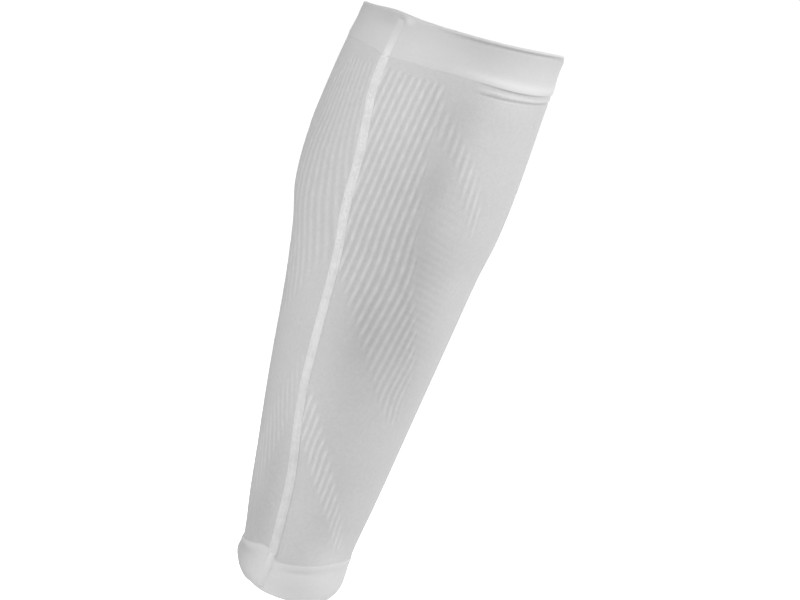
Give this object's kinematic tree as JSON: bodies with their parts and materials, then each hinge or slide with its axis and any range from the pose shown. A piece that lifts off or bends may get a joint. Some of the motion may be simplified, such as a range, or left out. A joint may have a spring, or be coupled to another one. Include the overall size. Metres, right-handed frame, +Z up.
{
  "type": "calf compression sleeve",
  "caption": "Knitted calf sleeve in its worn form, open at both ends, with ribbed zones, a folded cuff at each end and a flat seam up the back.",
  "frame": {"origin": "on the leg's axis, level with the bottom hem, where the leg enters the sleeve", "axes": "+Z up the leg, -Y the back of the calf where the seam is, +X the outer side of a right leg"},
  "size_m": [0.1195, 0.1286, 0.335],
  "materials": {
    "body_knit": "matt fine knit with raised ribs",
    "cuff_knit": "matt smooth double knit",
    "seam_thread": "matt flat stitching"
  },
  "bodies": {
    "root": {"body": "body_knit", "top_cuff": "cuff_knit", "bottom_cuff": "cuff_knit", "back_seam": "seam_thread", "seam_top": "seam_thread", "seam_bottom": "seam_thread"}
  },
  "joints": []
}
